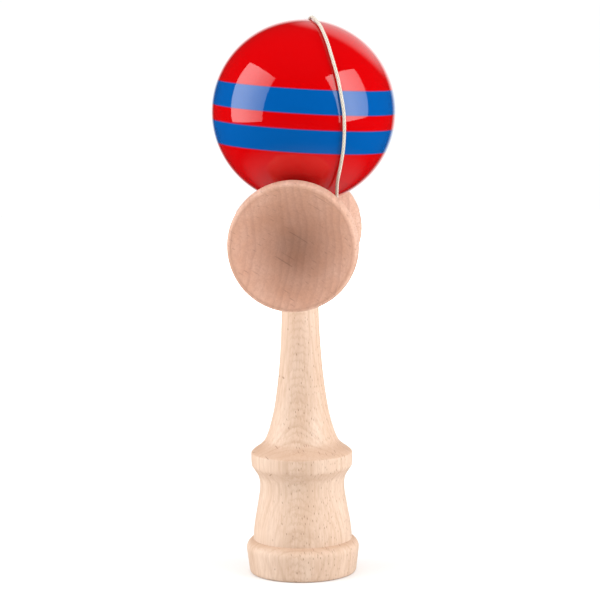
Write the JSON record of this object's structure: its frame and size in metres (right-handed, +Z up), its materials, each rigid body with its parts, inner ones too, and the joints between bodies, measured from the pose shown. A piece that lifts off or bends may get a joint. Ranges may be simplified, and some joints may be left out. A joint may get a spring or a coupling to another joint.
{
  "type": "kendama",
  "caption": "Wooden cup-and-ball skill toy: turned handle with base cup and spike, double-cup cross-piece, and a bored ball on a string, standing with the ball on the spike.",
  "frame": {"origin": "centre of the object's outline on the surface it stands on, below the middle of the leaning ball; the handle's axis stands 1.9 mm to the -X side", "axes": "+Z up the handle, -Y out of the bigger cup, +X towards the side where the string leaves the cross-piece"},
  "size_m": [0.06, 0.07, 0.1836],
  "materials": {
    "handle_wood": "bare turned beech, sanded smooth",
    "cross_piece_wood": "bare turned beech, rosier than the handle",
    "ball_lacquer": "turned wood under high-gloss red lacquer with two blue bands",
    "bead": "moulded, satin",
    "string": "braided white cord"
  },
  "bodies": {
    "handle": {"handle": "handle_wood", "cross_piece": "cross_piece_wood", "handle_knot": "string", "string_tail": "string", "string_winding": "string", "string_strand": "string"},
    "string_end": {"bead": "bead", "bead_knot": "string", "string_in_ball": "string"},
    "ball": {"ball": "ball_lacquer"}
  },
  "joints": [
    {"name": "ball_lift", "type": "slide", "parent": "handle", "child": "string_end", "axis": [0, 0, 1], "range_m": [0, 0.06], "deforming": ["string_strand"]},
    {"name": "ball_spin", "type": "hinge", "parent": "string_end", "child": "ball", "pos_m": [0, 0, 0.1526], "axis": [0.0689, 0, 0.9976], "continuous": true}
  ]
}
